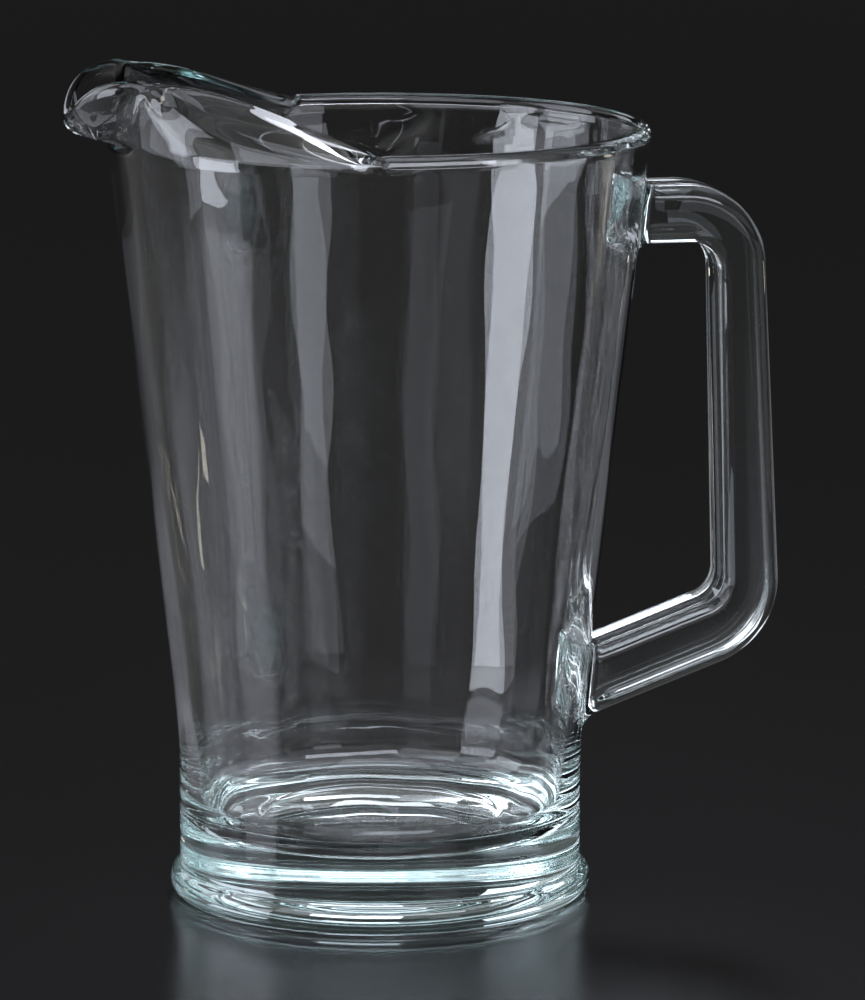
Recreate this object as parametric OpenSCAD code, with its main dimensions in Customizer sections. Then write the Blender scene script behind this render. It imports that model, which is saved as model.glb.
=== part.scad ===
// Glass beer pitcher: a conical body on a beaded foot, a pulled pouring lip and a fused D handle.
// Z is the axis of the body, the foot stands on z = 0, the handle is on +X and the lip on -X.

/* [Body] */
// Height of the plain rim above the table
rim_h = 208; // [180:0.5:240]
// Outer diameter of the body at the rim
rim_d = 145; // [130:1:160]
// Outer diameter of the straight heel above the foot
heel_d = 108; // [96:1:118]
// Height at which the straight heel turns into the cone
heel_h = 44; // [40:1:56]
// Radius of the soft bend from the heel into the cone
heel_bend_r = 230; // [80:10:260]
// Thickness of the wall at the heel and the rim, measured level
wall_t = 4; // [3:0.1:5]

/* [Base and foot] */
// Height of the floor inside above the table
floor_h = 18.5; // [16:0.5:24]
// Radius of the fillet between the floor and the wall inside
floor_fillet_r = 11.8; // [4:0.2:12]
// Width of the level ring round the dish in the floor
floor_ring_w = 4.8; // [2:0.2:12]
// Depth of the dish in the floor
floor_dish_depth = 0.8; // [0.3:0.1:2]
// Radius of the round bead of the foot
bead_r = 4.3; // [3:0.1:5.5]
// How far the bead stands out past the heel
bead_out = 2.6; // [1:0.1:3]
// Width of the flat ring that stands on the table
bearing_w = 8; // [4:0.5:12]
// Depth of the hollow under the foot
hollow_depth = 3; // [1:0.5:5]

/* [Rim and lip] */
// Height of the rim band above the crease in the wall
rim_band_h = 3.2; // [2.6:0.2:6]
// Thickness of the rounded edge of the rim and lip
edge_t = 3.4; // [2.6:0.1:4.4]
// Angle from the tip of the lip to the corner where it meets the rim
lip_half_angle = 81; // [75:1:84]
// How far the tip of the lip reaches past the rim
lip_reach = 12; // [8:0.5:16]
// Radius of the nose of the lip in plan
lip_nose_r = 28; // [20:1:32]
// Radius of the hollow sides of the lip in plan
lip_side_r = 64; // [56:1:120]
// Height of the sides of the lip above the rim
lip_rise = 15.8; // [10:0.2:20]
// Depth of the dip at the tip of the lip
lip_dip = 7.4; // [3:0.1:9]
// Angle over which the dip at the tip fades out
lip_dip_angle = 8.5; // [6:0.5:12]

/* [Handle] */
// Width of the handle across the pitcher
handle_w = 24; // [18:0.5:28]
// Thickness of the upper arm
upper_arm_t = 15.4; // [12:0.2:18]
// Thickness of the grip at its upper end
grip_t = 12.8; // [11:0.2:16]
// Thickness of the lower arm
lower_arm_t = 16.8; // [12:0.2:18.4]
// Radius on the long edges of the handle
handle_edge_r = 4.2; // [3:0.2:5.4]
// Distance of the grip's middle outside the rim, level with the upper arm
grip_out = 24.2; // [20:0.2:32]
// Angle at which the grip leans out towards its lower end
grip_lean = 2.1; // [0:0.1:5]
// Height of the rim above the middle of the upper arm
upper_arm_drop = 24.9; // [20:0.1:40]
// Height of the middle of the lower arm where it meets its pad
lower_arm_h = 58; // [50:0.1:70]
// Slope of the lower arm
lower_arm_slope = 20.3; // [8:0.1:30]
// Bend radius at the upper corner, at the middle of the handle
upper_bend_r = 15; // [10:0.5:18]
// Bend radius at the lower corner, at the middle of the handle
lower_bend_r = 16; // [10:0.5:20]
// Depth of the pads from the wall to the handle
pad_t = 4.2; // [3:0.1:6]
// How far a pad is larger than the handle all round
pad_margin = 1.6; // [0.6:0.1:2.4]

/* [Hidden] */
$fn = 96;

// Pale green-blue of clear glass seen edge on
glass_tint = [0.80, 0.92, 0.91, 0.5];
// Segments of one short arc, of one side of a lip section, and of the lip all round
arc_steps = 12;
side_steps = 8;
lip_steps = 72;

// Points of an arc about c, from angle a to angle b
function arc(c, r, a, b, n = arc_steps) =
    [for (i = [0 : n]) c + r * [cos(a + (b - a) * i / n), sin(a + (b - a) * i / n)]];
function reversed(v) = [for (i = [len(v) - 1 : -1 : 0]) v[i]];
function mix(a, b, t) = a + (b - a) * t;
function unit(v) = v / norm(v);

// Outer face: upright heel, tangent arc, then a straight cone to the rim
rim_r = rim_d / 2;
heel_r = heel_d / 2;
cone_angle = atan2(rim_r - heel_r, rim_h - heel_h);
bend_reach = heel_bend_r * tan(cone_angle / 2);
bend_start_h = heel_h - bend_reach;
crease_h = rim_h - rim_band_h;
function cone_r(z) = heel_r + (z - heel_h) * tan(cone_angle);
heel_bend = arc([heel_r + heel_bend_r, bend_start_h], heel_bend_r, 180, 180 - cone_angle);
wall_face = concat(heel_bend, [[cone_r(crease_h), crease_h]]);

// Inner face: a straight cone from the heel to the crease, as the plunger of the press leaves it
inner_r = heel_r - wall_t;
crease_inner_r = cone_r(crease_h) - wall_t;
inner_angle = atan2(crease_inner_r - inner_r, crease_h - bend_start_h);
inner_face = [[inner_r, bend_start_h], [crease_inner_r, crease_h]];
// Fillet that touches this cone and the floor, and ends below the bend
least_upright = 0.3;
fillet_r = min(floor_fillet_r, bend_start_h - floor_h - least_upright);
fillet_h = floor_h + fillet_r;
fillet_in = (fillet_r + (bend_start_h - fillet_h) * sin(inner_angle)) / cos(inner_angle);
fillet_mid_r = inner_r - fillet_in;
inner_fillet = arc([fillet_mid_r, fillet_h], fillet_r, -inner_angle, -90);

// Foot: a round bead, cut by the upright heel, with a shallow dome underneath
bead_c = [heel_r + bead_out - bead_r, bead_r];
bead_end = acos((heel_r - bead_c.x) / bead_r);
foot_h = bead_c.y + bead_r * sin(bead_end);
hollow_edge_r = bead_c.x - bearing_w;
dome_r = (hollow_edge_r * hollow_edge_r + hollow_depth * hollow_depth) / (2 * hollow_depth);
dome_angle = asin(hollow_edge_r / dome_r);
// Dish in the floor, inside a level ring, with a sloping edge
floor_dish_r = fillet_mid_r - floor_ring_w;
dish_slope = 2 * floor_dish_depth;

// Edge of the lip in plan, along its middle: a hollow side from the rim's corner, then a round nose
foot_mid_r = cone_r(crease_h) - wall_t / 2;
rim_mid_r = cone_r(rim_h) - edge_t / 2;
tip_mid_r = rim_r + lip_reach - edge_t / 2;
nose_c = [tip_mid_r - lip_nose_r, 0];
corner = rim_mid_r * [cos(lip_half_angle), sin(lip_half_angle)];
corner_run = norm(corner - nose_c);
centres_run = lip_nose_r + lip_side_r;
// Angle at the nose's centre between the rim's corner and the centre of the hollow side
spread_share = pow(corner_run, 2) + pow(centres_run, 2) - pow(lip_side_r, 2);
spread = acos(spread_share / (2 * corner_run * centres_run));
side_angle = atan2(corner.y, corner.x - nose_c.x) - spread;
side_dir = [cos(side_angle), sin(side_angle)];
side_c = nose_c + centres_run * side_dir;
nose_end = nose_c + lip_nose_r * side_dir;
nose_end_angle = atan2(nose_end.y, nose_end.x);
// Where a ray from the axis at angle a meets a circle: its near side for s = -1, its far side for s = 1
function ray_meets(c, r, a, s) =
    let (along = c * [cos(a), sin(a)])
    along + s * sqrt(r * r - c * c + along * along);
function lip_edge_r(a) =
    a < nose_end_angle ? ray_meets(nose_c, lip_nose_r, a, 1) : ray_meets(side_c, lip_side_r, a, -1);

// Height of the lip's edge over the rim: a rise along the side that starts gently, less a dip at the tip
peak_place = 0.75;
rise_ease = 1.2;
function lip_along(a) = (lip_edge_r(a) * cos(a) - corner.x) / (tip_mid_r - corner.x);
function lip_edge_h(a) =
    let (rise = pow(max(0, lip_along(a)) / peak_place, rise_ease))
    let (dip = exp(-pow(a / lip_dip_angle, 2)))
    lip_rise * sin(90 * rise) - lip_dip * dip;

// Section of the rim or lip, standing on the crease, with its rounded edge about the point crest.
// A section that flares bends softly outwards; one that is pinched in goes on up the wall to a shoulder.
flare_run = 0.85;
flare_lift = 0.35;
flare_bend = 0.95;
lean_run = 0.15;
lean_lift = 0.9;
lean_bend = 0.7;
// Distance over which the edge turns from the wall's direction into the lip's own
pull_run = 6;
rim_crest = [rim_mid_r, rim_h - edge_t / 2];
cone_dir = [sin(cone_angle), cos(cone_angle)];
function bezier(p, q, r, t) = mix(mix(p, q, t), mix(q, r, t), t);
// Straight from p towards the knee q, a rounded bend, and straight on to r
function side(p, q, r, bend) =
    let (a = mix(q, p, bend), b = mix(q, r, bend))
    [p, for (i = [0 : side_steps]) bezier(a, q, b, i / side_steps), r];
function flare_of(crest) = max(0, min(1, (crest.x - rim_mid_r) / (tip_mid_r - rim_mid_r)));
function knee(p, crest, flare) =
    [mix(p.x, crest.x, mix(lean_run, flare_run, flare)),
        mix(p.y, crest.y, mix(lean_lift, flare_lift, flare))];
function edge_section(crest) =
    let (flare = flare_of(crest))
    let (bend = mix(lean_bend, flare_bend, flare))
    let (pull = min(1, norm(crest - rim_crest) / pull_run))
    let (foot = [foot_mid_r, crease_h])
    let (up = unit(mix(cone_dir, unit(crest - knee(foot, crest, flare)), pull)))
    let (out = [up.y, -up.x] * edge_t / 2)
    let (half_wall = [wall_t / 2, 0])
    let (turn = atan2(out.y, out.x))
    let (outside = side(foot + half_wall, knee(foot + half_wall, crest + out, flare), crest + out, bend))
    let (inside = side(foot - half_wall, knee(foot - half_wall, crest - out, flare), crest - out, bend))
    let (top = arc(crest, edge_t / 2, turn, turn + 180, side_steps))
    let (top_inner = [for (i = [1 : side_steps - 1]) top[i]])
    concat(outside, top_inner, reversed(inside));
rim_section = edge_section(rim_crest);
function lip_section(a) =
    edge_section([lip_edge_r(a), rim_h + lip_edge_h(a) - edge_t / 2]);

// Middle line of the handle in the XZ plane: upper arm, grip and lower arm with two bends
upper_arm_h = rim_h - upper_arm_drop;
upper_face_x = cone_r(upper_arm_h) + pad_t;
lower_face_x = cone_r(lower_arm_h) + pad_t;
upper_corner = [rim_r + grip_out, upper_arm_h];
grip_dir = [sin(grip_lean), -cos(grip_lean)];
lower_dir = [cos(lower_arm_slope), sin(lower_arm_slope)];
lower_root = [lower_face_x, lower_arm_h];
to_root = lower_root - upper_corner;
corner_cross = lower_dir.x * grip_dir.y - lower_dir.y * grip_dir.x;
grip_run = (lower_dir.x * to_root.y - lower_dir.y * to_root.x) / corner_cross;
lower_corner = upper_corner + grip_run * grip_dir;
upper_turn = 90 - grip_lean;
lower_turn = 90 - lower_arm_slope + grip_lean;
upper_bend_reach = upper_bend_r * tan(upper_turn / 2);
lower_bend_reach = lower_bend_r * tan(lower_turn / 2);
grip_end = lower_corner - lower_bend_reach * grip_dir;
upper_bend_c = [upper_corner.x - upper_bend_reach, upper_arm_h - upper_bend_r];
lower_bend_c = grip_end - lower_bend_r * [cos(grip_lean), sin(grip_lean)];
lower_cut_h = lower_arm_t / cos(lower_arm_slope);

// Rings along the handle, each with its middle, the angle of its outward side and its thickness
grip_end_t = (grip_t + lower_arm_t) / 2;
function bend_rings(c, r, a, b, t, u) =
    [for (i = [0 : arc_steps])
        let (turn = mix(a, b, i / arc_steps))
        [c + r * [cos(turn), sin(turn)], turn, mix(t, u, i / arc_steps)]];
handle_rings = concat(
    [[[upper_face_x, upper_arm_h], 90, upper_arm_t]],
    bend_rings(upper_bend_c, upper_bend_r, 90, grip_lean, upper_arm_t, grip_t),
    bend_rings(lower_bend_c, lower_bend_r, grip_lean, grip_lean - lower_turn, grip_end_t, lower_arm_t),
    [[lower_root, grip_lean - lower_turn, lower_arm_t]]);

// Rounded outline of a bar t thick and handle_w wide, as [outward, across] points
corner_steps = 6;
function bar_outline(t) =
    [for (k = [0 : 3])
        let (x = k == 0 || k == 3 ? 1 : -1)
        let (y = k < 2 ? 1 : -1)
        each arc([x * (t / 2 - handle_edge_r), y * (handle_w / 2 - handle_edge_r)],
            handle_edge_r, 90 * k, 90 * k + 90, corner_steps)];
function ring_points(ring) =
    [for (q = bar_outline(ring[2]))
        let (p = ring[0] + q.x * [cos(ring[1]), sin(ring[1])])
        [p.x, q.y, p.y]];
// A ring slid along the lower arm until it lies in the face of the lower pad
function cut_at_face(points) =
    [for (p = points) p + (lower_face_x - p.x) / lower_dir.x * [lower_dir.x, 0, lower_dir.y]];

module glass() {
    color(glass_tint) children();
}

// Rectangle w by h about the origin with round corners
module rounded_rect(w, h, r) {
    square([w - 2 * r, h], center = true);
    square([w, h - 2 * r], center = true);
    for (x = [-1, 1], y = [-1, 1])
        translate([x * (w / 2 - r), y * (h / 2 - r)]) circle(r);
}

// Closed skin over rings of n points each, with a flat face on both ends
module sweep(rings) {
    n = len(rings[0]);
    last = (len(rings) - 1) * n;
    skin = [for (i = [0 : len(rings) - 2], j = [0 : n - 1])
        let (k = (j + 1) % n)
        each [[i * n + j, i * n + n + j, i * n + k], [i * n + k, i * n + n + j, i * n + n + k]]];
    first_end = [for (j = [0 : n - 1]) j];
    last_end = [for (j = [n - 1 : -1 : 0]) last + j];
    polyhedron([for (ring = rings) each ring], concat(skin, [first_end, last_end]));
}

// Everything inside the wall's outer face
module body_envelope() {
    rotate_extrude()
        polygon(concat([[0, floor_h], [heel_r, floor_h]], wall_face, [[0, crease_h]]));
}

// Pad between the wall and an upright face of the handle
module pad(face_x, middle_h, bar_h) {
    pad_h = bar_h + 2 * pad_margin;
    pad_w = handle_w + 2 * pad_margin;
    difference() {
        translate([0, 0, middle_h])
            rotate([0, 90, 0])
                linear_extrude(face_x)
                    rounded_rect(pad_h, pad_w, handle_edge_r + pad_margin);
        body_envelope();
    }
}

module foot() {
    glass()
        rotate_extrude()
            polygon(concat(
                arc([0, hollow_depth - dome_r], dome_r, 90, 90 - dome_angle),
                arc(bead_c, bead_r, -90, bead_end, 2 * arc_steps),
                [[0, foot_h]]));
}

module base() {
    glass()
        rotate_extrude()
            polygon([
                [0, foot_h],
                [heel_r, foot_h],
                [heel_r, floor_h],
                [floor_dish_r, floor_h],
                [floor_dish_r - dish_slope, floor_h - floor_dish_depth],
                [0, floor_h - floor_dish_depth]]);
}

module heel() {
    glass()
        rotate_extrude()
            polygon(concat(
                [[heel_r, floor_h], [heel_r, bend_start_h], [inner_r, bend_start_h]],
                inner_fillet));
}

module wall() {
    glass()
        rotate_extrude()
            polygon(concat(wall_face, reversed(inner_face)));
}

module rim() {
    glass()
        rotate([0, 0, lip_half_angle - 180])
            rotate_extrude(angle = 360 - 2 * lip_half_angle)
                polygon(rim_section);
}

module pouring_lip() {
    angles = [for (i = [0 : lip_steps]) lip_half_angle * (2 * i / lip_steps - 1)];
    glass()
        sweep([for (a = angles) [for (p = lip_section(abs(a))) [-p.x * cos(a), p.x * sin(a), p.y]]]);
}

module handle() {
    last = len(handle_rings) - 1;
    glass()
        sweep([for (i = [0 : last])
            let (points = ring_points(handle_rings[i]))
            i == last ? cut_at_face(points) : points]);
}

module upper_handle_pad() {
    glass() pad(upper_face_x, upper_arm_h, upper_arm_t);
}

module lower_handle_pad() {
    glass() pad(lower_face_x, lower_arm_h, lower_cut_h);
}

foot();
base();
heel();
wall();
rim();
pouring_lip();
handle();
upper_handle_pad();
lower_handle_pad();
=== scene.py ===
# %% [markdown]
# A clear glass beer pitcher, dressed for its portrait.
#
# The CAD model gives the sections of the pitcher at their real size. A glassworks presses the
# body and the handle apart and fuses them while they are hot, so here they are modelled one after
# the other and then joined to one closed mesh. Glass has no colour of its own to paint. It shows
# what is around it, bent by its curves, so smooth meshes of the right thickness matter more than
# any texture.

# %% Load the frame
import math

import bmesh
import bpy
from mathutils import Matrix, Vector, noise


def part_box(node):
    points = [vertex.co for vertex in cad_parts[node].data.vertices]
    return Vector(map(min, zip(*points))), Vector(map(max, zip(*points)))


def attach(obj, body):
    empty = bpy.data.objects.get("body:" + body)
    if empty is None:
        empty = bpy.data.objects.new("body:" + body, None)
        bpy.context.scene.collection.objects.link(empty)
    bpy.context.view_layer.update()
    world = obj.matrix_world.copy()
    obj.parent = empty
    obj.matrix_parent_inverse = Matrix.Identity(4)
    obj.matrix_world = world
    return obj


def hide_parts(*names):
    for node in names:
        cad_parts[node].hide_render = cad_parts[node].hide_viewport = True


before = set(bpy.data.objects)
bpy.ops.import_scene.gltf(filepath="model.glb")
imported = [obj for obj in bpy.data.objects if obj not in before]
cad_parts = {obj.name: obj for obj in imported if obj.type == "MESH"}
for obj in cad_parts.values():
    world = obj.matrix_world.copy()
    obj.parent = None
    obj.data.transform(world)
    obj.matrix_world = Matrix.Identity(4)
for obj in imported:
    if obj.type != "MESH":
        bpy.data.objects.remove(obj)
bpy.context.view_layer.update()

# %% [markdown]
# The camera stands a little to the left of the handle's plane and looks down by about ten
# degrees, from far away, as a product photographer does to keep the sides from converging. A long
# lens gives the same calm perspective. The picture is 865 by 1000, so the sensor is fitted to its
# height.

# %% Camera
view_azimuth = math.radians(-10)
eye_distance = 1.6913
eye_height = 0.4117
look_height = 0.1067
look_aside = 0.0142
sensor_size = 36
focal_length = 231.2
right = Vector((math.cos(view_azimuth), math.sin(view_azimuth), 0))
ahead = Vector((-math.sin(view_azimuth), math.cos(view_azimuth), 0))
up = Vector((0, 0, 1))


def aim(thing, place, target):
    thing.location = place
    thing.rotation_euler = (target - place).to_track_quat("-Z", "Y").to_euler()
    bpy.context.scene.collection.objects.link(thing)
    return thing


lens = bpy.data.cameras.new("camera")
lens.sensor_fit = "VERTICAL"
lens.sensor_height = sensor_size
lens.sensor_width = sensor_size
lens.lens = focal_length
camera = bpy.data.objects.new("camera", lens)
aim(camera, -ahead * eye_distance + up * eye_height, right * look_aside + up * look_height)
bpy.context.scene.camera = camera
bpy.context.scene.view_settings.view_transform = "Standard"
print("camera at", [round(c, 3) for c in camera.location])

# %% [markdown]
# Clear glass has no look of its own: it shows the room. Against a dark ground its lit edges draw
# the shape, so the room is dark round the horizon. Higher up it has a soft grey band, and a
# dimmer tone above that. Behind the pitcher it stays dark until higher up. A world made of a few
# nodes can do that: the height of the direction picks the tone, and a dot product tells the front
# of the room from its back. Light passes many walls of glass here, so Cycles gets more bounces
# than it has by default.

# %% World and light paths
horizon_tone = 0.05
band_tone = 0.6
upper_tone = 0.15
back_low_tone = 0.02
back_high_tone = 0.12
band_low = (8, 14)
band_high = (24, 36)
back_rise = (22, 34)
back_angle = 150
shade_start = 0.25
shade_end = 0.5
most_bounces = 32
mirror_bounces = 16


def toward(angle):
    turn = math.radians(angle)
    return -ahead * math.cos(turn) + right * math.sin(turn)


def map_range(nodes, low, high, to_low, to_high):
    node = nodes.new("ShaderNodeMapRange")
    node.interpolation_type = "SMOOTHSTEP"
    node.inputs["From Min"].default_value = low
    node.inputs["From Max"].default_value = high
    node.inputs["To Min"].default_value = to_low
    node.inputs["To Max"].default_value = to_high
    return node


def by_height(nodes, angles, to_low, to_high):
    low, high = [math.sin(math.radians(a)) for a in angles]
    return map_range(nodes, low, high, to_low, to_high)


def studio_world():
    world = bpy.data.worlds.new("studio_dome")
    world.use_nodes = True
    nodes, links = world.node_tree.nodes, world.node_tree.links
    place = nodes.new("ShaderNodeTexCoord")
    split = nodes.new("ShaderNodeSeparateXYZ")
    band = by_height(nodes, band_low, horizon_tone, band_tone)
    above = by_height(nodes, band_high, 1, upper_tone / band_tone)
    front = nodes.new("ShaderNodeMath")
    front.operation = "MULTIPLY"
    back = by_height(nodes, back_rise, back_low_tone, back_high_tone)
    facing = nodes.new("ShaderNodeVectorMath")
    facing.operation = "DOT_PRODUCT"
    facing.inputs[1].default_value = toward(back_angle)
    shade = map_range(nodes, shade_start, shade_end, 0, 1)
    level = nodes.new("ShaderNodeMix")
    links.new(place.outputs["Generated"], split.inputs["Vector"])
    for node in (band, above, back):
        links.new(split.outputs["Z"], node.inputs["Value"])
    links.new(band.outputs["Result"], front.inputs[0])
    links.new(above.outputs["Result"], front.inputs[1])
    links.new(place.outputs["Generated"], facing.inputs[0])
    links.new(facing.outputs["Value"], shade.inputs["Value"])
    links.new(shade.outputs["Result"], level.inputs["Factor"])
    links.new(front.outputs["Value"], level.inputs["A"])
    links.new(back.outputs["Result"], level.inputs["B"])
    links.new(level.outputs["Result"], nodes["Background"].inputs["Color"])
    return world


bpy.context.scene.world = studio_world()
paths = bpy.context.scene.cycles
paths.max_bounces = most_bounces
paths.transmission_bounces = most_bounces
paths.glossy_bounces = mirror_bounces
print("world", bpy.context.scene.world.name)

# %% [markdown]
# The floor is smooth, and its colour holds painted light: it is charcoal, with pools of light
# painted as a paler tone at the left and right of the pitcher, on the camera's side, and it falls
# off to charcoal under it, behind it and near the camera, where the glass needs a dark ground. It
# lies a hair below the foot, because two faces in the same place would flicker, and real glass has
# air under it too.

# %% Floor
floor_radius = 4.0
floor_drop = 0.0002
floor_segments = 96
floor_roughness = 0.24
floor_ior = 1.55
# painted light: the paler tone of the pools of light painted at the left and right of the floor
painted_light_tone = (0.1, 0.1, 0.1, 1)
charcoal = (0.0066, 0.0061, 0.0063, 1)
# where the painted pools of light lie: sideways, behind and towards the camera, in metres
painted_light_aside = (0.14, 0.28)
painted_light_ahead = (-0.1, 0.02)
painted_light_front = (-0.45, -0.3)


def new_material(name):
    material = bpy.data.materials.new(name)
    material.use_nodes = True
    return material, material.node_tree.nodes, material.node_tree.links


def along(nodes, links, place, axis):
    node = nodes.new("ShaderNodeVectorMath")
    node.operation = "DOT_PRODUCT"
    node.inputs[1].default_value = axis
    links.new(place.outputs["Object"], node.inputs[0])
    return node


# The floor's colour is charcoal with painted pools of light mixed in at the sides.
def floor_with_painted_light():
    material, nodes, links = new_material("floor_painted_light")
    shader = nodes["Principled BSDF"]
    shader.inputs["Roughness"].default_value = floor_roughness
    shader.inputs["IOR"].default_value = floor_ior
    place = nodes.new("ShaderNodeTexCoord")
    aside = nodes.new("ShaderNodeMath")
    aside.operation = "ABSOLUTE"
    side = map_range(nodes, *painted_light_aside, 0, 1)
    behind = map_range(nodes, *painted_light_ahead, 1, 0)
    front = map_range(nodes, *painted_light_front, 0, 1)
    depth = nodes.new("ShaderNodeMath")
    depth.operation = "MULTIPLY"
    share = nodes.new("ShaderNodeMath")
    share.operation = "MULTIPLY"
    distance = along(nodes, links, place, ahead)
    tone = nodes.new("ShaderNodeMix")
    tone.data_type = "RGBA"
    tone.inputs["A"].default_value = charcoal
    tone.inputs["B"].default_value = painted_light_tone
    links.new(along(nodes, links, place, right).outputs["Value"], aside.inputs[0])
    links.new(aside.outputs["Value"], side.inputs["Value"])
    for node in (behind, front):
        links.new(distance.outputs["Value"], node.inputs["Value"])
    links.new(behind.outputs["Result"], depth.inputs[0])
    links.new(front.outputs["Result"], depth.inputs[1])
    links.new(side.outputs["Result"], share.inputs[0])
    links.new(depth.outputs["Value"], share.inputs[1])
    links.new(share.outputs["Value"], tone.inputs["Factor"])
    links.new(tone.outputs["Result"], shader.inputs["Base Color"])
    return material


def mesh_object(name, bm, material):
    mesh = bpy.data.meshes.new(name)
    bm.to_mesh(mesh)
    bm.free()
    mesh.materials.append(material)
    piece = bpy.data.objects.new(name, mesh)
    bpy.context.scene.collection.objects.link(piece)
    return piece


bm = bmesh.new()
bmesh.ops.create_circle(bm, cap_ends=True, segments=floor_segments, radius=floor_radius)
bmesh.ops.translate(bm, verts=bm.verts, vec=(0, 0, -floor_drop))
mesh_object("floor", bm, floor_with_painted_light())
print("floor radius", floor_radius)

# %% [markdown]
# Softboxes are drawn by the glass as bright shapes. Standing ones are mirrored by the walls as
# upright strips: a tall one at the left gives the brightest, and dimmer ones give the fainter
# strips. Two dim cards behind lift the edges of the wall off the dark ground. High ones, overhead
# and behind, draw the lip, the rim, the bends of the handle, the floor inside and the foot, and a
# small warm window gives a sparkle. Angles run round the pitcher from the camera's side, with
# minus to the left. An area lamp of a given power is dimmer the larger it is, so the power is
# worked out from a brightness.

# %% Softboxes
daylight = (0.95, 0.99, 1.11)
warm = (1, 0.93, 0.75)
aim_height = 0.11
window_angle = 114
window_distance = 1.2
window_height = 0.06
window_size = (0.12, 0.04)
window_brightness = 5.0
# name, angle, distance, width, top, bottom, brightness
standing_rows = (
    ("tall_softbox", -70, 0.73, 0.259, 0.31, 0.006, 5.5),
    ("tall_edge", -85.5, 0.73, 0.132, 0.31, 0.006, 1.0),
    ("right_strip", 34.5, 1.25, 0.375, 0.36, 0.15, 1.75),
    ("right_strip_low", 34.5, 1.25, 0.375, 0.15, 0.05, 0.55),
    ("left_strip", -24, 1.0, 0.25, 0.3, 0, 0.35),
    ("right_haze", 82, 0.8, 0.5, 0.26, 0, 0.35),
    ("right_card", 138, 0.36, 0.14, 0.12, 0, 0.08),
    ("left_card", -138, 0.36, 0.14, 0.12, 0, 0.025),
)
# name, angle, degrees above the floor, distance, width, depth, brightness
high_rows = (
    ("big_softbox", -38, 38, 1.2, 0.9, 0.64, 1.8),
    ("left_high", -100, 32, 1.1, 0.6, 0.75, 2.4),
    ("left_low", -100, 15, 1.0, 0.5, 0.35, 0.9),
    ("top_softbox", 0, 78, 1.2, 0.8, 0.8, 1.5),
    ("overhead_right", 20, 40, 1.2, 1.15, 0.25, 7.5),
    ("back_softbox", 176, 36, 1.5, 0.32, 0.24, 2.8),
    ("back_right", 145, 30, 1.3, 0.5, 0.5, 0.8),
    ("back_left", -150, 22, 1.3, 0.4, 0.4, 1.5),
)


def softbox(name, place, target, width, height, brightness, tint=daylight):
    light = bpy.data.lights.new(name, "AREA")
    light.shape = "RECTANGLE"
    light.size = width
    light.size_y = height
    light.color = tint
    light.energy = brightness * math.pi * width * height
    lamp = aim(bpy.data.objects.new(name, light), place, target)
    lamp.visible_camera = False
    return lamp


def standing_softbox(name, angle, distance, width, top, bottom, brightness):
    place = toward(angle) * distance + up * (bottom + top) / 2
    return softbox(name, place, up * place.z, width, top - bottom, brightness)


def high_softbox(name, angle, height, distance, width, depth, brightness):
    tilt = math.radians(height)
    place = toward(angle) * distance * math.cos(tilt) + up * distance * math.sin(tilt)
    return softbox(name, place, up * aim_height, width, depth, brightness)


for values in standing_rows:
    standing_softbox(*values)
for values in high_rows:
    high_softbox(*values)
window_middle = up * window_height
window_place = toward(window_angle) * window_distance + window_middle
softbox("window", window_place, window_middle, *window_size, window_brightness, warm)

# %% [markdown]
# The body is a solid of revolution before its lip is pulled. Its outline runs from the middle of
# the hollow under the foot, round the bead, up the heel and the cone, over the rim, and down
# inside to the middle of the floor. Heights come from the frame, and the few other sizes are
# written here.

# %% Sizes of the body
MM = 0.001
foot_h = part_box("foot")[1].z
floor_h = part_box("base")[1].z
bend_start_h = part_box("wall")[0].z
crease_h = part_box("wall")[1].z
rim_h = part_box("rim")[1].z
rim_r = 72.5 * MM
heel_r = 54 * MM
heel_h = 44 * MM
heel_bend_r = 230 * MM
wall_t = 4 * MM
fillet_r = 11.8 * MM
floor_ring_w = 4.8 * MM
dish_depth = 0.8 * MM
bead_r = 4.3 * MM
bead_out = 2.6 * MM
bearing_w = 8 * MM
hollow_depth = 3 * MM
cone_slope = (rim_r - heel_r) / (rim_h - heel_h)


def cone_r(z):
    return heel_r + (z - heel_h) * cone_slope


def mix(a, b, t):
    return a + (b - a) * t


def heading(angle):
    turn = math.radians(angle)
    return Vector((math.cos(turn), math.sin(turn)))


def arc(centre, radius, start, end, steps):
    return [centre + radius * heading(mix(start, end, i / steps)) for i in range(steps + 1)]


def curve(p, q, r, steps):
    shares = [i / steps for i in range(steps + 1)]
    return [p.lerp(q, t).lerp(q.lerp(r, t), t) for t in shares]


def line(p, q, steps):
    return [p.lerp(q, i / steps) for i in range(steps + 1)]


print("rim at", round(rim_h / MM, 1), "crease at", round(crease_h / MM, 1), "mm")

# %% [markdown]
# The edge of the rim and lip has one section, which stands on the crease of the wall and ends in
# a fire-polished edge: a tight corner inside, and outside a soft turn that ends in a slope, which
# catches the light from overhead. It is worked out from the point that its edge has to reach.
# Where the edge reaches out, the section bends softly outwards, as a pulled lip does. Where it is
# pinched in, the section goes on up the wall to a round shoulder and then runs inwards. The tight
# corner stands higher than the full round of the CAD model where the lip leans out, so the lip
# rises a hair less here.

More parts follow.
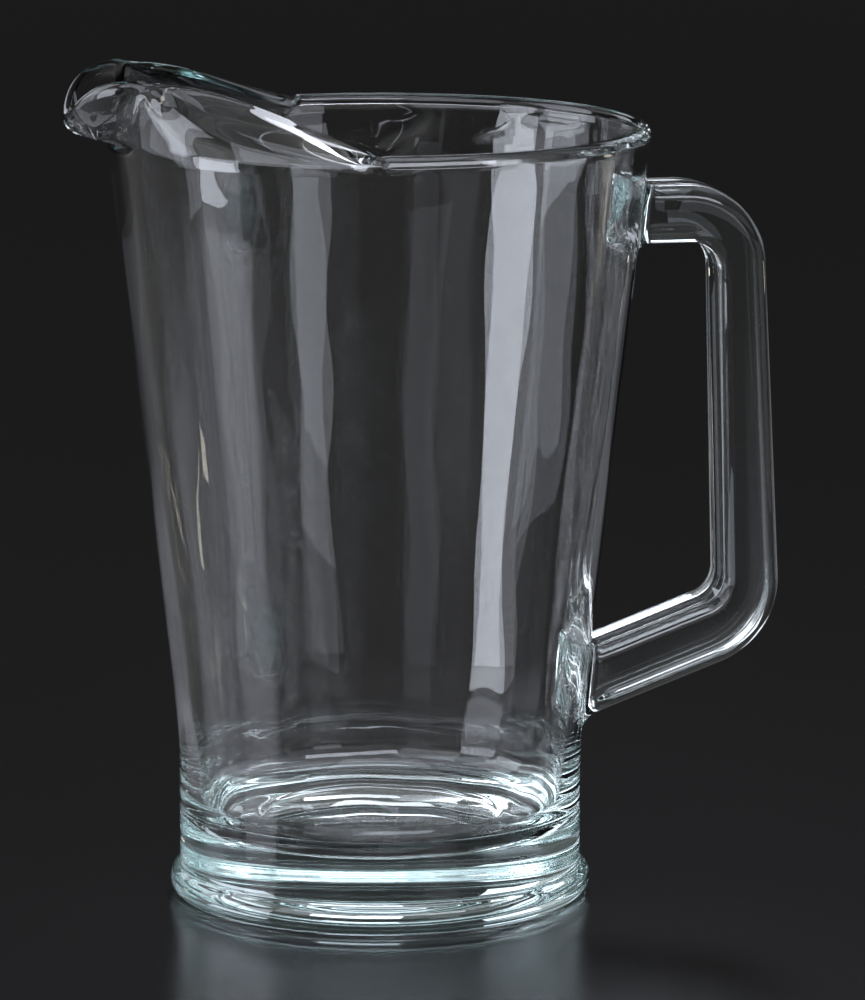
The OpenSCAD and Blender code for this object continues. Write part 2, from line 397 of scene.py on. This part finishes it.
# %% Section of the edge
edge_t = 3.4 * MM
lip_half_angle = 81
lip_reach = 12 * MM
lip_nose_r = 28 * MM
lip_side_r = 64 * MM
lip_rise = 15.45 * MM
lip_dip = 7.4 * MM
lip_dip_angle = 8.5
peak_place = 0.75
rise_ease = 1.2
flare_run = 0.85
flare_lift = 0.35
flare_bend = 0.95
lean_run = 0.15
lean_lift = 0.9
lean_bend = 0.7
pull_run = 6 * MM
side_steps = 12
straight_steps = 3
inner_round = 0.6 * MM
outer_turns = ((90, 28, 2.49 * MM), (28, 22, 12 * MM), (22, 0, 1 * MM))
turn_steps = 5
foot_mid_r = cone_r(crease_h) - wall_t / 2
rim_mid_r = rim_r - edge_t / 2
tip_mid_r = rim_r + lip_reach - edge_t / 2
rim_crest = Vector((rim_mid_r, rim_h - edge_t / 2))
cone_dir = Vector((cone_slope, 1)).normalized()


def knee(p, crest, flare):
    run = mix(lean_run, flare_run, flare)
    lift = mix(lean_lift, flare_lift, flare)
    return Vector((mix(p.x, crest.x, run), mix(p.y, crest.y, lift)))


def outer_rounding():
    points = [Vector((0, 0))]
    for start, end, radius in outer_turns:
        points += arc(points[-1] - radius * heading(start), radius, start, end, turn_steps)[1:]
    return points


outer_round = outer_rounding()


def side(p, q, r, bend):
    a, b = q.lerp(p, bend), q.lerp(r, bend)
    below, above = line(p, a, straight_steps), line(b, r, straight_steps)
    return below[:-1] + curve(a, q, b, side_steps) + above[1:]


def edge_section(crest):
    flare = max(0, min(1, (crest.x - rim_mid_r) / (tip_mid_r - rim_mid_r)))
    foot = Vector((foot_mid_r, crease_h))
    half_wall = Vector((wall_t / 2, 0))
    bend = mix(lean_bend, flare_bend, flare)
    pull = min(1, (crest - rim_crest).length / pull_run)
    rise = cone_dir.lerp((crest - knee(foot, crest, flare)).normalized(), pull).normalized()
    out = Vector((rise.y, -rise.x))
    top = crest + rise * edge_t / 2 + out * (inner_round - edge_t / 2)
    over = [top + out * p.x + rise * p.y for p in reversed(outer_round)]
    inner_arc = arc(Vector((0, -inner_round)), inner_round, 90, 180, turn_steps)
    back = [top + out * p.x + rise * p.y for p in inner_arc]
    outside = side(foot + half_wall, knee(foot + half_wall, over[0], flare), over[0], bend)
    inside = side(foot - half_wall, knee(foot - half_wall, back[-1], flare), back[-1], bend)
    return outside[:-1] + over + back[1:] + inside[-2::-1]


rim_section = edge_section(rim_crest)
print("rows in the edge's section", len(rim_section))

# %% [markdown]
# The outline is a chain of arcs and straight lines, drawn in the XZ plane. Spinning it round Z by
# a full turn makes the pressing. The pole in the middle of the floor and the one under the foot
# come out as many points in one place, so doubles are merged and the faces are turned outwards
# again.

# %% Outline of the body
groove_run = 2 * MM
bead_c = Vector((heel_r + bead_out - bead_r, bead_r))
bead_top = 50
hollow_edge_r = bead_c.x - bearing_w
dome_r = (hollow_edge_r**2 + hollow_depth**2) / (2 * hollow_depth)
dome_angle = math.degrees(math.asin(hollow_edge_r / dome_r))
cone_angle = math.degrees(math.atan(cone_slope))
inner_r = heel_r - wall_t
inner_run = Vector((cone_r(crease_h) - wall_t - inner_r, crease_h - bend_start_h))
inner_angle = math.atan2(inner_run.x, inner_run.y)
fillet_h = floor_h + fillet_r
fillet_drop = (bend_start_h - fillet_h) * math.sin(inner_angle)
fillet_in = (fillet_r + fillet_drop) / math.cos(inner_angle)
fillet_c = Vector((inner_r - fillet_in, fillet_h))
dish_r = fillet_c.x - floor_ring_w
dish_slope = 2 * dish_depth
soft = 1.2 * MM
dome_steps = 12
bead_steps = 20
groove_steps = 6
heel_steps = 8
wall_steps = 72
fillet_steps = 16
rise_steps = 4
dish_steps = 10


def body_outline():
    dome = arc(Vector((0, hollow_depth - dome_r)), dome_r, 90, 90 - dome_angle, dome_steps)
    bead = arc(bead_c, bead_r, -90, bead_top, bead_steps)
    groove_top = Vector((heel_r, foot_h + groove_run))
    groove = curve(bead[-1], Vector((heel_r, foot_h)), groove_top, groove_steps)
    heel = line(groove[-1], Vector((heel_r, bend_start_h)), heel_steps)
    bend_c = Vector((heel_r + heel_bend_r, bend_start_h))
    bend = arc(bend_c, heel_bend_r, 180, 180 - cone_angle, heel_steps)
    cone = line(bend[-1], Vector((cone_r(crease_h), crease_h)), wall_steps)
    fillet = arc(fillet_c, fillet_r, -math.degrees(inner_angle), -90, fillet_steps)
    inner_wall = line(Vector((cone_r(crease_h) - wall_t, crease_h)), fillet[0], wall_steps)
    ring_edge = Vector((dish_r, floor_h))
    dish_edge = Vector((dish_r - dish_slope, floor_h - dish_depth))
    halfway = ring_edge.lerp(dish_edge, 0.5)
    step = curve(ring_edge + Vector((soft, 0)), ring_edge, halfway, rise_steps)
    step += curve(halfway, dish_edge, dish_edge - Vector((soft, 0)), rise_steps)[1:]
    dish = line(step[-1], Vector((0, floor_h - dish_depth)), dish_steps)
    outside = dome + bead + groove[1:] + heel[1:] + bend[1:] + cone[1:-1]
    return outside, rim_section, inner_wall[1:] + fillet[1:] + step + dish[1:]


outside, edge, inside = body_outline()
print("points in the outline", len(outside) + len(edge) + len(inside))

# %% Spin the body
columns = 240
merge_distance = 0.001 * MM


def spin_body():
    bm = bmesh.new()
    row = bm.verts.layers.int.new("row")
    chain = [bm.verts.new((p.x, 0, p.y)) for p in outside + edge + inside]
    for i, vert in enumerate(chain):
        vert[row] = i - len(outside)
    edges = [bm.edges.new(pair) for pair in zip(chain, chain[1:])]
    bmesh.ops.spin(
        bm, geom=chain + edges, cent=(0, 0, 0), axis=(0, 0, 1),
        angle=2 * math.pi, steps=columns, use_merge=True,
    )
    bmesh.ops.remove_doubles(bm, verts=bm.verts, dist=merge_distance)
    bmesh.ops.recalc_face_normals(bm, faces=bm.faces)
    return bm, row


body, row_layer = spin_body()
print("body faces", len(body.faces))

# %% [markdown]
# The lip is pulled from the soft rim with tools that push its nose out and pinch its sides in,
# which holds ice back when beer is poured. Every column of the rim within the lip's angle gets
# the section that reaches the lip's edge there. In plan the edge is a round nose between two
# hollow sides.

# %% Pull the lip
nose_c = Vector((tip_mid_r - lip_nose_r, 0))
half_turn = math.radians(lip_half_angle)
corner = rim_mid_r * Vector((math.cos(half_turn), math.sin(half_turn)))
corner_run = (corner - nose_c).length
centres_run = lip_nose_r + lip_side_r
spread_cos = (corner_run**2 + centres_run**2 - lip_side_r**2) / (2 * corner_run * centres_run)
spread = math.acos(spread_cos)
side_turn = math.atan2(corner.y, corner.x - nose_c.x) - spread
side_dir = Vector((math.cos(side_turn), math.sin(side_turn)))
side_c = nose_c + centres_run * side_dir
nose_end = nose_c + lip_nose_r * side_dir
nose_end_turn = math.atan2(nose_end.y, nose_end.x)


def ray_meets(centre, radius, turn, side):
    along = centre.dot(Vector((math.cos(turn), math.sin(turn))))
    return along + side * math.sqrt(radius**2 - centre.length_squared + along**2)


def lip_crest(turn):
    if turn < nose_end_turn:
        reach = ray_meets(nose_c, lip_nose_r, turn, 1)
    else:
        reach = ray_meets(side_c, lip_side_r, turn, -1)
    along = (reach * math.cos(turn) - corner.x) / (tip_mid_r - corner.x)
    rise = math.sin(math.pi / 2 * (max(0, along) / peak_place) ** rise_ease)
    dip = math.exp(-((math.degrees(turn) / lip_dip_angle) ** 2))
    return Vector((reach, rim_h + lip_rise * rise - lip_dip * dip - edge_t / 2))


def pull_lip(bm, row):
    sections = {}
    pulled = 0
    for vert in bm.verts:
        turn = math.atan2(abs(vert.co.y), -vert.co.x)
        if 0 <= vert[row] < len(edge) and turn < half_turn:
            key = round(math.degrees(turn), 3)
            if key not in sections:
                sections[key] = edge_section(lip_crest(turn))
            p = sections[key][vert[row]]
            aside = math.copysign(p.x * math.sin(turn), vert.co.y)
            vert.co = (-p.x * math.cos(turn), aside, p.y)
            pulled += 1
    return pulled


print("lip points", pull_lip(body, row_layer))

# %% [markdown]
# A pressed wall is never quite even: it carries long upright ripples that bend every straight
# reflection. They are real unevenness of a few tenths of a millimetre, more inside than outside,
# so they are put into the mesh with Blender's own Perlin noise, which gives the same result each
# time. Where the hot handle was pushed on, the wall bulges a little inside.

# %% Ripple the wall
ripple_across = 15 * MM
ripple_along = 45 * MM
ripple_in = 0.34 * MM
ripple_out = 0.12 * MM
ripple_shift = 7
ripple_fade_low = 16 * MM
ripple_fade_high = 6 * MM
root_bulge = 0.9 * MM
root_spread = Vector((11, 13)) * MM
root_pads = ("upper_handle_pad", "lower_handle_pad")
root_heights = [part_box(pad)[0].lerp(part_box(pad)[1], 0.5).z for pad in root_pads]


def ripple(point, lift):
    height = point.z / ripple_along + lift
    return noise.noise(Vector((point.x / ripple_across, point.y / ripple_across, height)))


def root_nearness(point):
    across = (math.atan2(point.y, point.x) * heel_r / root_spread.x) ** 2
    return max(math.exp(-across - ((point.z - h) / root_spread.y) ** 2) for h in root_heights)


def ripple_wall(bm, row):
    for vert in bm.verts:
        if 0 <= vert[row] < len(edge) or not floor_h < vert.co.z < crease_h:
            continue
        below_crease = (crease_h - vert.co.z) / ripple_fade_high
        above_floor = (vert.co.z - floor_h) / ripple_fade_low
        fade = min(1, below_crease, above_floor)
        near_root = root_nearness(vert.co)
        outward = Vector((vert.co.x, vert.co.y, 0)).normalized()
        if vert[row] < 0:
            lift = ripple(vert.co, ripple_shift)
            vert.co += outward * ripple_out * fade * (1 - near_root) * lift
        else:
            vert.co += outward * (ripple_in * fade * ripple(vert.co, 0) - root_bulge * near_root)


ripple_wall(body, row_layer)
print("root heights in mm", [round(h / MM, 1) for h in root_heights])

# %% [markdown]
# The handle is a rounded bar that is bent twice. It starts as one rectangle, whose corners are
# rounded with a vertex bevel, and that face is extruded from station to station along the middle
# line. Each station has a place, the direction of its outward side and a thickness. Those of the
# pads at both ends also have a swell, by which they are wider than the bar, and a stand, which is
# how far from the wall their points are placed.

# %% Sizes of the handle
handle_w = 24 * MM
upper_arm_t = 15.4 * MM
grip_t = 12.8 * MM
lower_arm_t = 16.8 * MM
handle_edge_r = 4.2 * MM
grip_out = 24.15 * MM
grip_lean = 2.1
upper_arm_drop = 24.9 * MM
lower_arm_h = 58 * MM
lower_arm_slope = 20.3
upper_bend_r = 15 * MM
lower_bend_r = 16 * MM
pad_t = 4.2 * MM
pad_margin = 1.6 * MM
upper_arm_h = rim_h - upper_arm_drop
upper_face = Vector((cone_r(upper_arm_h) + pad_t, upper_arm_h))
lower_face = Vector((cone_r(lower_arm_h) + pad_t, lower_arm_h))
upper_corner = Vector((rim_r + grip_out, upper_arm_h))
grip_dir = heading(grip_lean - 90)
lower_dir = heading(lower_arm_slope)
to_root = lower_face - upper_corner
corner_cross = lower_dir.x * grip_dir.y - lower_dir.y * grip_dir.x
grip_run = (lower_dir.x * to_root.y - lower_dir.y * to_root.x) / corner_cross
lower_corner = upper_corner + grip_run * grip_dir
upper_turn = 90 - grip_lean
lower_turn = 90 - lower_arm_slope + grip_lean
upper_reach = upper_bend_r * math.tan(math.radians(upper_turn / 2))
lower_reach = lower_bend_r * math.tan(math.radians(lower_turn / 2))
upper_bend_c = Vector((upper_corner.x - upper_reach, upper_arm_h - upper_bend_r))
grip_end = lower_corner - lower_reach * grip_dir
lower_bend_c = grip_end - lower_bend_r * heading(grip_lean)
print("grip run in mm", round(grip_run / MM, 1))

# %% Stations along the handle
pad_steps = 7
bend_steps = 16
arm_steps = 6
grip_steps = 16


def straight(p, q, turn, t, u, steps):
    return [(p.lerp(q, i / steps), turn, mix(t, u, i / steps), 0, None) for i in range(1, steps)]


def bend_stations(centre, radius, a, b, t, u):
    stations = []
    for i in range(bend_steps + 1):
        share = i / bend_steps
        turn = mix(a, b, share)
        stations.append((centre + radius * heading(turn), turn, mix(t, u, share), 0, None))
    return stations


def pad_stations(face, turn, t):
    stands = [pad_t * i / pad_steps for i in range(pad_steps + 1)]
    return [(face, turn, t, pad_margin * (1 - stand / pad_t) ** 2, stand) for stand in stands]


def handle_stations():
    grip_end_t = (grip_t + lower_arm_t) / 2
    lower_side = grip_lean - lower_turn
    upper = bend_stations(upper_bend_c, upper_bend_r, 90, grip_lean, upper_arm_t, grip_t)
    lower = bend_stations(
        lower_bend_c, lower_bend_r, grip_lean, lower_side, grip_end_t, lower_arm_t
    )
    start = pad_stations(upper_face, 90, upper_arm_t)
    end = list(reversed(pad_stations(lower_face, lower_side, lower_arm_t)))
    upper_arm = straight(upper_face, upper[0][0], 90, upper_arm_t, upper_arm_t, arm_steps)
    grip = straight(upper[-1][0], lower[0][0], grip_lean, grip_t, grip_end_t, grip_steps)
    lower_arm = straight(lower[-1][0], lower_face, lower_side, lower_arm_t, lower_arm_t, arm_steps)
    return start + upper_arm + upper + grip + lower + lower_arm + end


stations = handle_stations()
print("stations", len(stations))

# %% Extrude the handle
corner_segments = 10
slide_steps = 5
bend_end_h = bend_start_h + heel_bend_r * math.sin(math.radians(cone_angle))


def outer_r(z):
    if z > bend_end_h:
        return cone_r(z)
    rise = max(0, z - bend_start_h) / heel_bend_r
    return heel_r + heel_bend_r * (1 - math.sqrt(1 - rise * rise))


def slide_to_wall(p, aside, along, stand):
    for _ in range(slide_steps):
        wall_x = math.sqrt(outer_r(p.y) ** 2 - aside**2)
        p = p + along * (wall_x - p.x) / along.x
    return p + along * stand


def place_ring(verts, ring, outline, station):
    middle, turn, thickness, swell, stand = station
    side = heading(turn)
    along = Vector((abs(side.y), math.copysign(side.x, -side.y)))
    for vert in verts:
        u, v = outline[vert[ring]]
        u += math.copysign((thickness - grip_t) / 2 + swell, u)
        v += math.copysign(swell, v)
        p = middle + side * u
        if stand is not None:
            p = slide_to_wall(p, v, along, stand)
        vert.co = (p.x, v, p.y)


def extrude_handle():
    bm = bmesh.new()
    ring = bm.verts.layers.int.new("ring")
    bmesh.ops.create_grid(bm, x_segments=1, y_segments=1, size=0.5)
    bmesh.ops.scale(bm, vec=(grip_t, handle_w, 1), verts=bm.verts)
    bmesh.ops.bevel(
        bm, geom=bm.verts[:], offset=handle_edge_r, affect="VERTICES",
        segments=corner_segments, profile=0.5, material=-1,
    )
    outline = [vert.co.xy for vert in bm.verts]
    for i, vert in enumerate(bm.verts):
        vert[ring] = i
    place_ring(bm.verts, ring, outline, stations[0])
    first = front = bm.faces[:][0]
    for station in stations[1:]:
        made = bmesh.ops.extrude_face_region(bm, geom=[front])
        if front is not first:
            bmesh.ops.delete(bm, geom=[front], context="FACES_ONLY")
        front = [g for g in made["geom"] if isinstance(g, bmesh.types.BMFace)][0]
        place_ring(front.verts, ring, outline, station)
    bmesh.ops.recalc_face_normals(bm, faces=bm.faces)
    return bm


handle = extrude_handle()
print("handle faces", len(handle.faces))

# %% [markdown]
# The hot handle is pressed onto the hot wall, and the two run together: no face is left between
# them. So the end faces of the bar are deleted, and so is the patch of wall under each. That
# leaves two open edges at each root, which Blender's bridge operator joins with a strip of faces.
# A few rounds of smoothing then give the seam the soft hollow that molten glass has.

# %% Fuse the handle to the wall
root_split_h = (upper_arm_h + lower_arm_h) / 2
seat_margin = 0.4 * MM
seam_rounds = 3
seam_softness = 0.5


def open_ends(bm):
    ends = sorted(bm.faces, key=lambda f: len(f.verts))[-2:]
    seats = []
    for end in ends:
        aside = [vert.co.y for vert in end.verts]
        heights = [vert.co.z for vert in end.verts]
        low, high = min(heights) - seat_margin, max(heights) + seat_margin
        seats.append((max(aside) + seat_margin, low, high))
    bmesh.ops.delete(bm, geom=ends, context="FACES_ONLY")
    return seats


def cut_seat(bm, row, seat):
    half_width, low, high = seat

    def covered(vert):
        return vert.co.x > 0 and abs(vert.co.y) < half_width and low < vert.co.z < high

    outer = [f for f in bm.faces if all(v[row] < 0 for v in f.verts)]
    patch = [f for f in outer if any(covered(v) for v in f.verts)]
    bmesh.ops.delete(bm, geom=patch, context="FACES")


def fuse(bm, row, other):
    for seat in open_ends(other):
        cut_seat(bm, row, seat)
    mesh = bpy.data.meshes.new("fused")
    other.to_mesh(mesh)
    other.free()
    bm.from_mesh(mesh)
    bpy.data.meshes.remove(mesh)
    seam = [edge for edge in bm.edges if edge.is_boundary]
    for above in (True, False):
        root = [e for e in seam if (e.verts[0].co.z > root_split_h) == above]
        bmesh.ops.bridge_loops(bm, edges=root)
    points = list({vert for edge in seam for vert in edge.verts})
    for _ in range(seam_rounds):
        bmesh.ops.smooth_vert(
            bm, verts=points, factor=seam_softness,
            use_axis_x=True, use_axis_y=True, use_axis_z=True,
        )
    bmesh.ops.recalc_face_normals(bm, faces=bm.faces)
    return sum(not edge.is_manifold for edge in bm.edges)


print("open edges after fusing:", fuse(body, row_layer, handle))

# %% [markdown]
# The pitcher is clear soda-lime glass. It is colourless in a thin wall and blue-green where light
# runs a long way inside it, which is what an absorbing volume does: the longer the way, the
# deeper the tint. The fire-polished skin is smooth, with faint ripples and a few dull smears
# where it was handled, so a shared group gives a ripple height and a roughness.

# %% Glass
glass_ior = 1.52
absorbed = (0.2, 0.8, 0.77, 1)
absorption = 2.5
skin_stretch = (1, 1, 0.35)
skin_ripple_scale = 45
skin_ripple_height = 0.05 * MM
smear_scale = 60
smear_roughness = 0.05
smear_range = (0.55, 0.85)


def skin_group():
    group = bpy.data.node_groups.new("glass_skin", "ShaderNodeTree")
    face = group.interface
    face.new_socket(name="Ripple Scale", in_out="INPUT", socket_type="NodeSocketFloat")
    face.new_socket(name="Smear Scale", in_out="INPUT", socket_type="NodeSocketFloat")
    face.new_socket(name="Smear Roughness", in_out="INPUT", socket_type="NodeSocketFloat")
    face.new_socket(name="Height", in_out="OUTPUT", socket_type="NodeSocketFloat")
    face.new_socket(name="Roughness", in_out="OUTPUT", socket_type="NodeSocketFloat")
    nodes, links = group.nodes, group.links
    given = nodes.new("NodeGroupInput")
    result = nodes.new("NodeGroupOutput")
    place = nodes.new("ShaderNodeTexCoord")
    stretch = nodes.new("ShaderNodeMapping")
    stretch.inputs["Scale"].default_value = skin_stretch
    ripples = nodes.new("ShaderNodeTexNoise")
    ripples.inputs["Detail"].default_value = 1
    smears = nodes.new("ShaderNodeTexNoise")
    smears.inputs["Detail"].default_value = 5
    dull = nodes.new("ShaderNodeMapRange")
    dull.inputs["From Min"].default_value = smear_range[0]
    dull.inputs["From Max"].default_value = smear_range[1]
    links.new(place.outputs["Object"], stretch.inputs["Vector"])
    links.new(stretch.outputs["Vector"], ripples.inputs["Vector"])
    links.new(given.outputs["Ripple Scale"], ripples.inputs["Scale"])
    links.new(place.outputs["Object"], smears.inputs["Vector"])
    links.new(given.outputs["Smear Scale"], smears.inputs["Scale"])
    links.new(smears.outputs["Fac"], dull.inputs["Value"])
    links.new(given.outputs["Smear Roughness"], dull.inputs["To Max"])
    links.new(ripples.outputs["Fac"], result.inputs["Height"])
    links.new(dull.outputs["Result"], result.inputs["Roughness"])
    return group


glass_skin = skin_group()


def glass():
    material, nodes, links = new_material("clear_glass")
    shader = nodes["Principled BSDF"]
    shader.inputs["Base Color"].default_value = (1, 1, 1, 1)
    shader.inputs["IOR"].default_value = glass_ior
    shader.inputs["Transmission Weight"].default_value = 1
    skin = nodes.new("ShaderNodeGroup")
    skin.node_tree = glass_skin
    skin.inputs["Ripple Scale"].default_value = skin_ripple_scale
    skin.inputs["Smear Scale"].default_value = smear_scale
    skin.inputs["Smear Roughness"].default_value = smear_roughness
    bump = nodes.new("ShaderNodeBump")
    bump.inputs["Strength"].default_value = 1
    bump.inputs["Distance"].default_value = skin_ripple_height
    inside = nodes.new("ShaderNodeVolumeAbsorption")
    inside.inputs["Color"].default_value = absorbed
    inside.inputs["Density"].default_value = absorption
    links.new(skin.outputs["Height"], bump.inputs["Height"])
    links.new(skin.outputs["Roughness"], shader.inputs["Roughness"])
    links.new(bump.outputs["Normal"], shader.inputs["Normal"])
    links.new(inside.outputs["Volume"], nodes["Material Output"].inputs["Volume"])
    return material


print("glass group", glass_skin.name)

# %% [markdown]
# The fused glass becomes one object, smooth all over, that rides on the one body of the frame and
# stands for all the CAD sections that it is made of.

# %% Finish the piece
def finish_piece(name, bm, material, nodes):
    for face in bm.faces:
        face.smooth = True
    piece = mesh_object(name, bm, material)
    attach(piece, "root")
    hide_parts(*nodes)
    print(name, "faces", len(piece.data.polygons))
    return piece


body_nodes = ("foot", "base", "heel", "wall", "rim", "pouring_lip")
handle_nodes = ("handle", "upper_handle_pad", "lower_handle_pad")
finish_piece("glass_pitcher", body, glass(), body_nodes + handle_nodes)
